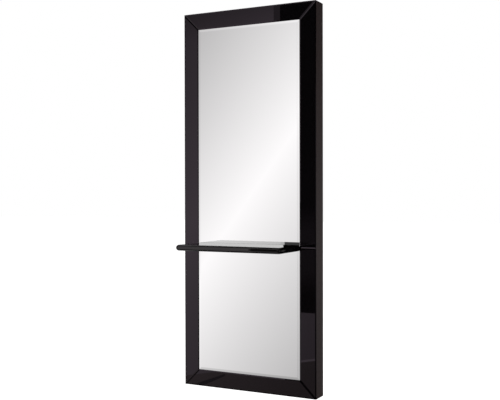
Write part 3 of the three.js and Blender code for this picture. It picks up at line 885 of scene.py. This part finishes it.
def inset(outline, distances):
    """A convex outline in X and Z with each edge moved inwards by its own distance."""
    count = len(outline)
    area = sum(
        outline[i][0] * outline[(i + 1) % count][1] - outline[(i + 1) % count][0] * outline[i][1]
        for i in range(count)
    )
    turn = 1 if area > 0 else -1
    edges = []
    for index in range(count):
        start, end = outline[index], outline[(index + 1) % count]
        along = Vector((end[0] - start[0], end[1] - start[1])).normalized()
        inward = Vector((-along.y, along.x)) * turn
        edges.append((inward, inward.dot(Vector(start)) + distances[index]))
    moved = []
    for index in range(count):
        (first, a), (second, b) = edges[index - 1], edges[index]
        cross = first.x * second.y - first.y * second.x
        moved.append(((a * second.y - b * first.y) / cross, (first.x * b - second.x * a) / cross))
    return moved


def ground_pane(name, node, outline, bevel, slot, bevelled=(True, True, True, True)):
    """A pane of glass with fine arrises and, on the edges asked for, a wide ground bevel in front."""
    width, depth = bevel
    shoulder = GLASS_FRONT_Y + depth
    wide_only = [width if wide else 0 for wide in bevelled]
    loops = [
        (inset(outline, [ARRIS] * len(outline)), GLASS_BACK_Y),
        (outline, GLASS_BACK_Y - ARRIS),
        (outline, shoulder + ARRIS),
        (inset(outline, [ARRIS if wide else 0 for wide in bevelled]), shoulder),
        (inset(outline, wide_only), GLASS_FRONT_Y),
    ]
    if not all(bevelled):
        square_too = [width if wide else ARRIS for wide in bevelled]
        loops[-1:] = [
            (inset(outline, wide_only), GLASS_FRONT_Y + ARRIS),
            (inset(outline, square_too), GLASS_FRONT_Y),
        ]
    with sculpt(name) as (work, mesh):
        rings = [[work.verts.new((x, y, z)) for x, z in loop] for loop, y in loops]
        join_all(work, rings)
        work.faces.new(rings[0])
        work.faces.new(rings[-1])
        bmesh.ops.remove_doubles(work, verts=work.verts, dist=1e-6)
    return finish_piece(name, mesh, slot, [node])


def build_border():
    """Mitred strips. The upright ones are in two lengths, with a seam at the height of the shelf."""
    for level, up in ENDS:
        node = f"border_{level}"
        low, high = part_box(node)
        inner_z, outer_z = by_side(low.z, high.z, up)
        reach = high.x
        tip = reach - (high.z - low.z)
        outline = [(-reach, outer_z), (-tip, inner_z), (tip, inner_z), (reach, outer_z)]
        ground_pane(f"{node}_strip", node, outline, BORDER_BEVEL, "black_glass")
    for word, side in SIDES:
        for level, up in LEVELS:
            node = f"border_{word}_{level}"
            low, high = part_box(node)
            inner_x, outer_x = by_side(low.x, high.x, side)
            seam, corner = by_side(low.z, high.z, up)
            mitre = corner - up * (high.x - low.x)
            outline = [(inner_x, seam), (outer_x, seam), (outer_x, corner), (inner_x, mitre)]
            ground_pane(f"{node}_strip", node, outline, BORDER_BEVEL, "black_glass")


def build_mirrors():
    """Two panes. Their edges that meet behind the shelf have no bevel."""
    panes = []
    for level, up in LEVELS:
        node = f"mirror_{level}"
        low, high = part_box(node)
        outline = [(low.x, low.z), (high.x, low.z), (high.x, high.z), (low.x, high.z)]
        bevelled = (up < 0, True, up > 0, True)
        panes.append(ground_pane(f"{node}_pane", node, outline, MIRROR_BEVEL, "mirror", bevelled))
    return panes


# ---------------- shelf

def rear_setback(depth):
    """How far the rounded rear edge lies in front of the rear face, at a depth inside the board."""
    left = max(SHELF_REAR_ROUND - depth, 0.0)
    return SHELF_REAR_ROUND - math.sqrt(SHELF_REAR_ROUND ** 2 - left ** 2)


def shelf_outline():
    """Places around the board where its half-round edge stands, with the way out from each."""
    corner_x = SHELF_HIGH.x - SHELF_CORNER
    corner_y = SHELF_LOW.y + SHELF_CORNER
    quarter = [math.pi / 2 * step / SHELF_CORNER_STEPS for step in range(SHELF_CORNER_STEPS + 1)]
    spots = []
    for _, side in SIDES:
        turns = quarter if side < 0 else quarter[::-1]
        corner = [(side * corner_x, corner_y, side * math.cos(a), -math.sin(a)) for a in turns]
        rear = (side * corner_x, SHELF_HIGH.y, side, 0.0)
        spots += [rear, *corner] if side < 0 else [*corner, rear]
    return spots


def shelf_rows(spots):
    """The outline at each step up the half-round edge."""
    edge = (SHELF_HIGH.z - SHELF_LOW.z) / 2
    swing = SHELF_CORNER - edge
    rows = []
    for step in range(SHELF_EDGE_STEPS + 1):
        tilt = math.pi * (step / SHELF_EDGE_STEPS - 0.5)
        reach = swing + edge * math.cos(tilt)
        z = SHELF_AXIS_Z + edge * math.sin(tilt)
        row = [Vector((x + reach * out_x, y + reach * out_y, z)) for x, y, out_x, out_y in spots]
        setback = rear_setback(min(SHELF_HIGH.z - z, z - SHELF_LOW.z))
        row[0].y -= setback
        row[-1].y -= setback
        rows.append(row)
    return rows


def shelf_holes():
    """The blind holes in the shelf, for the rods and for the lock screws."""
    holes = []
    for word, _ in SIDES:
        screw_low, screw_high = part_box(f"shelf_lock_screw_{word}")
        x, y, _ = (screw_low + screw_high) / 2
        radius = (screw_high.x - screw_low.x) / 2 + CLEARANCE
        holes.append(((x, y, SHELF_LOW.z - CUT_PAST), (x, y, screw_high.z), radius))
        rod_tip_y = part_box(f"shelf_support_{word}")[0].y
        start = (x, rod_tip_y - CLEARANCE, SHELF_AXIS_Z)
        holes.append((start, (x, SHELF_HIGH.y + CUT_PAST, SHELF_AXIS_Z), ROD_HOLE_RADIUS))
    return holes


def build_shelf():
    """The shelf board: half-round left, front and right edges that turn the corners."""
    rows = shelf_rows(shelf_outline())
    with sculpt("shelf_board") as (work, mesh):
        loops = [[work.verts.new(spot) for spot in row] for row in rows]
        join_all(work, loops)
        work.faces.new(loops[0])
        work.faces.new(loops[-1][::-1])
    piece = finish_piece("shelf_board_polished", mesh, "gloss_black", ["shelf_board"], smooth=30)
    bore(piece, shelf_holes())
    weigh_normals(piece)


def finish_plain_nodes():
    """The front board and the tapes keep their own solids, which are plain and mostly hidden."""
    names = ["front_board"] + [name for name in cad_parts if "_tape_" in name]
    for name in names:
        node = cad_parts[name]
        slot = "raw_board" if name == "front_board" else "foam_tape"
        node.data.materials.clear()
        node.data.materials.append(MATERIALS[slot])


# ---------------- stage

FLOOR_Z = -0.32
REACH = 30.0  # of the floor and of the mirror's view
MIRROR_VIEW_Y = -0.9  # the plane whose soft light the mirror shows
WHITE_CARD_Y = -3.3
LAYER = 0.01  # between cards that lie one in front of the other

# the flag, a black cloth between the object and the white cards
FLAG_Y = -1.224
FLAG_LEFT = -0.375
FLAG_RIGHT = -0.02
FLAG_PENUMBRA = 0.03
FLAG_FOOT = 0.223
FLAG_TOP = 3.6
FLAG_CORNERS = [
    (FLAG_LEFT, FLAG_TOP), (FLAG_LEFT, 1.95), (-0.63, 1.95), (-0.574, 1.72), (-0.455, 1.36),
    (-0.385, 0.96), (FLAG_LEFT, 0.85), (FLAG_LEFT, 0.42), (-0.41, 0.3), (-0.49, -0.05),
    (-0.51, -0.14), (-0.26, -0.14), (-0.26, FLAG_FOOT), (FLAG_RIGHT, FLAG_FOOT),
    (FLAG_RIGHT, FLAG_TOP),
]
FELT_LIGHT = {"height": 0.62, "fall": (0.12, 0.28, 0.09, 0.018)}

# a diagonal sheen in an upright plane: shares of white per metre, and how far it runs to its turn
MIRROR_SHEEN = {"across": 0.2279, "up": -0.1769, "shift": 0.268, "turn": 0.32}
CARD_SHEEN = {"across": 0.1483, "up": -0.1151, "shift": 0.418, "turn": 0.35}

# changes to a sheen, each from a place to a place in metres, with its value at both
CEILING_GAIN = (2.03, 2.08, 0.0, 0.1)
FLOOR_LOSS = (-0.14, -0.2, 0.0, 0.12)
LEFT_LOSS = (-0.82, -0.88, 0.0, 0.008)
RIGHT_LOSS = (-0.08, -0.03, 0.0, 0.015)
COVE = (2.45, 2.85, 1.0, 0.55)


def oblong(low_x, low_z, high_x, high_z):
    return [(low_x, low_z), (high_x, low_z), (high_x, high_z), (low_x, high_z)]


WALL_CORNERS = [(-6.0, -1.53), (-0.5, -0.43), (-0.5, 0.9), (0.6, 0.9), (0.6, 3.6), (-6.0, 3.6)]
# a dim strip in front of the wall: a painted dark streak in the reflection on the bottom border
DARK_STREAK_STRIP = [(-2.33, -0.955), (-1.93, -0.765), (-1.93, -0.745), (-2.33, -0.9)]
# a bright strip in front of the wall: a painted light line in the reflections
BRIGHT_LINE_STRIP = [(-1.3, -0.594), (-0.85, -0.504), (-0.85, -0.485), (-1.3, -0.575)]

# cards that the black glass and the shelf show: corners, layer in front of the wall, level of light
SHEEN_CARDS = (
    ("white_wall", WALL_CORNERS, 0, 0.91, WHITE),
    ("pale_ground", oblong(-6.0, -3.0, -0.5, 0.0), -2, 0.61, rgb(1.0, 0.97, 0.88)),
    ("white_side", oblong(3.4, -1.7, 9.0, 2.6), 0, 0.91, WHITE),
)
PLAIN_CARDS = (
    ("near_ground", oblong(-6.0, -3.4, -1.0, -1.35), -1, 1.0),
    ("pale_ceiling", oblong(-6.0, 2.95, -1.05, 7.6), 1, 0.75),
    # the dim strip: a painted dark streak in the reflection on the bottom border
    ("dark_streak_strip", DARK_STREAK_STRIP, 1, 0.16),
    # the bright strip: a painted light line in the reflections
    ("bright_line_strip", BRIGHT_LINE_STRIP, 1, 0.72),
    # a dim patch in front of the wall: a painted dark patch in the reflections
    ("dim_patch", oblong(-6.0, 0.5, -4.6, 0.85), 1, 0.05),
)
# a half-lit strip beside the flag's upper left edge: painted half-shade at the edge of the flag's dark
# reflection
FLAG_HALF_SHADE = oblong(-0.42, 2.0, FLAG_LEFT, FLAG_TOP)
FLAG_FRINGE = oblong(FLAG_LEFT, FLAG_FOOT, FLAG_LEFT + FLAG_PENUMBRA, FLAG_TOP)
WALL_SEEN_LATER = oblong(-6.0, 0.68, FLAG_LEFT + FLAG_PENUMBRA, 0.98)


def hide_from(thing, *rays):
    for ray in rays:
        setattr(thing, f"visible_{ray}", False)


def stage_sheet(name, points, material, *hidden_from):
    """One flat face on the stage, hidden from some kinds of rays."""
    mesh = bpy.data.meshes.new(name)
    mesh.from_pydata(points, [], [tuple(range(len(points)))])
    mesh.materials.append(material)
    sheet = new_thing(name, mesh)
    hide_from(sheet, *hidden_from)
    return sheet


def stage_card(name, corners, y, material, seen_by):
    """An upright card in the X and Z plane that only reflections in those pieces see."""
    points = [(x, y, z) for x, z in corners]
    card = stage_sheet(name, points, material, "camera", "diffuse", "transmission", "shadow")
    card.light_linking.receiver_collection = seen_by


def stage_material(name):
    """A stage material with an output and nothing else. Reflections find it by themselves."""
    material = bpy.data.materials.new(name)
    material.use_nodes = True
    material.cycles.emission_sampling = "NONE"
    tree = material.node_tree
    tree.nodes.clear()
    return material, tree, tree.nodes.new("ShaderNodeOutputMaterial")


def ray_depth(tree):
    return add_node(tree, "LightPath").outputs["Ray Depth"]


def sheen_of(tree, sheen):
    """A share of white that falls away on both sides of a diagonal."""
    place = object_place(tree)
    x, z = axis_of(tree, place, "X"), axis_of(tree, place, "Z")
    across = math_node(tree, "MULTIPLY_ADD", x, sheen["across"], sheen["shift"])
    along = math_node(tree, "MULTIPLY_ADD", z, sheen["up"], across)
    share = math_node(tree, "SUBTRACT", 1.0, math_node(tree, "PINGPONG", along, sheen["turn"]))
    return share, x, z


def light_up(tree, output, strength, color=WHITE):
    glow = add_node(tree, "Emission", {"Color": color, "Strength": strength})
    tree.links.new(glow.outputs[0], output.inputs["Surface"])
    return glow


def add_to(tree, output, first, second):
    both = add_node(tree, "AddShader", {0: first.outputs[0], 1: second.outputs[0]})
    tree.links.new(both.outputs[0], output.inputs["Surface"])


def glow_through(tree, output, strength, color=WHITE):
    """Light added to whatever lies behind the card."""
    glow = light_up(tree, output, strength, color)
    add_to(tree, output, glow, add_node(tree, "BsdfTransparent"))


def mirror_view_material():
    """A soft diagonal sheen, seen by the first reflection only and clear to everything else."""
    material, tree, output = stage_material("mirror_view")
    share, x, z = sheen_of(tree, MIRROR_SHEEN)
    share = math_node(tree, "ADD", share, map_range(tree, z, *CEILING_GAIN))
    for axis, loss in ((z, FLOOR_LOSS), (x, LEFT_LOSS), (x, RIGHT_LOSS)):
        share = math_node(tree, "SUBTRACT", share, map_range(tree, axis, *loss), clamp=True)
    linear = math_node(tree, "POWER", share, 2.15)
    first = math_node(tree, "LESS_THAN", ray_depth(tree), 1.5)
    strength = math_node(tree, "MULTIPLY", linear, first)
    glow_through(tree, output, strength, rgb(1.0, 0.984, 0.993))
    return material


def sheen_card_material(name, level, color):
    """A sheen on the wall, which is darker where it nears the ceiling."""
    material, tree, output = stage_material(name)
    share, _, z = sheen_of(tree, CARD_SHEEN)
    linear = math_node(tree, "POWER", share, 2.2)
    start, end, below, above = COVE
    high = map_range(tree, z, start, end, below * level, above * level)
    light_up(tree, output, math_node(tree, "MULTIPLY", linear, high), color)
    return material


def plain_card_material(name, level):
    material, tree, output = stage_material(name)
    light_up(tree, output, level)
    return material


def later_card_material(name, level):
    """A card that shows from the second reflection on."""
    material, tree, output = stage_material(name)
    later = math_node(tree, "GREATER_THAN", ray_depth(tree), 1.5)
    glow_through(tree, output, math_node(tree, "MULTIPLY", later, level))
    return material


def flag_material():
    """Black felt, a little lit just below the height of the shelf."""
    material, tree, output = stage_material("black_felt")
    height = axis_of(tree, object_place(tree), "Z")
    above = math_node(tree, "SUBTRACT", height, FELT_LIGHT["height"])
    distance = math_node(tree, "ABSOLUTE", above)
    light_up(tree, output, map_range(tree, distance, *FELT_LIGHT["fall"]))
    return material


def receivers(name, objects, state):
    group = bpy.data.collections.new(name)
    for thing in objects:
        group.objects.link(thing)
    for entry in group.collection_objects:
        entry.light_linking.link_state = state
    return group


def paper_material():
    """White paper that takes a shadow. What the camera sees of it is lifted to white."""
    material, tree, output = stage_material("paper")
    matt = add_node(tree, "BsdfDiffuse", {"Color": rgb(0.9, 0.9, 0.9)})
    seen = add_node(tree, "LightPath").outputs["Is Camera Ray"]
    lift = light_up(tree, output, math_node(tree, "MULTIPLY", seen, 0.42))
    add_to(tree, output, matt, lift)
    return material


def build_stage(panes):
    """The floor, and the cards that the mirror, the black glass and the shelf show."""
    all_round = oblong(-REACH, -REACH, REACH, REACH)
    stage_sheet("floor", [(x, y, FLOOR_Z) for x, y in all_round], paper_material(), "glossy")
    only_mirror = receivers("only_mirror", panes, "INCLUDE")
    not_mirror = receivers("not_mirror", panes, "EXCLUDE")
    stage_card("mirror_view", all_round, MIRROR_VIEW_Y, mirror_view_material(), only_mirror)
    for name, corners, layer, level, color in SHEEN_CARDS:
        material = sheen_card_material(name, level, color)
        stage_card(name, corners, WHITE_CARD_Y + layer * LAYER, material, not_mirror)
    for name, corners, layer, level in PLAIN_CARDS:
        material = plain_card_material(name, level)
        stage_card(name, corners, WHITE_CARD_Y + layer * LAYER, material, not_mirror)
    later = later_card_material("white_wall_later", 0.8)
    stage_card("white_wall_later", WALL_SEEN_LATER, FLAG_Y + 2 * LAYER, later, only_mirror)
    fringe = later_card_material("flag_fringe", 0.55)
    stage_card("flag_fringe", FLAG_FRINGE, FLAG_Y + LAYER / 20, fringe, not_mirror)
    # the half-lit strip: painted half-shade at the edge of the flag's dark reflection
    stage_card("flag_half_shade", FLAG_HALF_SHADE, FLAG_Y, plain_card_material("flag_half_shade", 0.27), not_mirror)
    stage_card("black_flag", FLAG_CORNERS, FLAG_Y, flag_material(), not_mirror)


# light of the world that reflections see, by the direction of the ray: from, to, value at both
REAR_START = (-0.02, 0.12)
RIGHT_START = (0.1, 0.35)
LEFT_GLOW = (-0.75, -0.45, 0.18, 0.55)
SIDE_GLOW = (0.0, 0.26, 0.26, 0.0)
SIDE_GLOW_DIP = 0.06
TOP_GLOW = (0.86, 0.95, 0.0, 0.5)
FOOT_GLOW = (-0.86, -0.95, 0.0, 0.34)
SOFT_LIGHT = 0.8  # of the world on matt surfaces


def build_world():
    """White to the camera, an even soft light on matt surfaces, and a shaped one in reflections."""
    world = bpy.data.worlds.new("studio")
    bpy.context.scene.world = world
    world.use_nodes = True
    tree = world.node_tree
    tree.nodes.clear()
    path = add_node(tree, "LightPath").outputs
    direction = add_node(tree, "TexCoord").outputs["Generated"]
    x, y, z = [axis_of(tree, direction, axis) for axis in "XYZ"]
    off_level = math_node(tree, "ABSOLUTE", math_node(tree, "ADD", z, SIDE_GLOW_DIP))
    side_glow = map_range(tree, off_level, *SIDE_GLOW)
    left_glow = map_range(tree, x, *LEFT_GLOW)
    rear_level = blend_value(tree, map_range(tree, x, *RIGHT_START), left_glow, side_glow)
    behind = math_node(tree, "MULTIPLY", map_range(tree, y, *REAR_START), rear_level)
    above = map_range(tree, z, *TOP_GLOW)
    below = map_range(tree, z, *FOOT_GLOW)
    reflected = math_node(tree, "MAXIMUM", behind, math_node(tree, "MAXIMUM", above, below))
    shown = math_node(tree, "MAXIMUM", path["Is Camera Ray"], path["Is Transmission Ray"])
    soft = blend_value(tree, path["Is Glossy Ray"], SOFT_LIGHT, reflected)
    level = blend_value(tree, shown, soft, 1.0)
    background = add_node(tree, "Background", {"Color": WHITE, "Strength": level})
    output = add_node(tree, "OutputWorld")
    tree.links.new(background.outputs[0], output.inputs["Surface"])


def soft_lamp(name, place, aim, size, power):
    lamp = bpy.data.lights.new(name, "AREA")
    lamp.shape = "RECTANGLE"
    lamp.size, lamp.size_y = size
    lamp.energy = power
    thing = new_thing(name, lamp)
    thing.location = place
    thing.rotation_euler = (Vector(aim) - Vector(place)).to_track_quat("-Z", "Y").to_euler()
    hide_from(thing, "glossy", "camera")


def build_lamps():
    soft_lamp("right_lamp", (4.2, 1.0, 1.4), (0.36, 0.0, 1.0), (1.6, 2.4), 40)
    soft_lamp("back_lamp", (-1.5, 4.0, 2.6), (0, 0, 1.0), (2.0, 2.0), 40)


def build_camera():
    data = bpy.data.cameras.new("camera")
    data.sensor_width = 36.0
    data.lens = CAMERA_LENS
    camera = new_thing("camera", data)
    turn = Matrix.Rotation(CAMERA_TURN, 4, "Z")
    tilt = Matrix.Rotation(math.radians(90) + CAMERA_TILT, 4, "X")
    roll = Matrix.Rotation(CAMERA_ROLL, 4, "Z")
    camera.matrix_world = Matrix.Translation(CAMERA_PLACE) @ turn @ tilt @ roll
    bpy.context.scene.camera = camera


# ---------------- the scene

build_camera()
build_boards()
build_glue_beads()
build_frame_cleat()
build_wall_cleat()
build_screws()
build_lock_screws()
build_angle_brackets()
build_shelf_supports()
build_border()
mirror_panes = build_mirrors()
build_shelf()
finish_plain_nodes()
build_stage(mirror_panes)
build_world()
build_lamps()
bpy.context.scene.view_settings.view_transform = "Standard"
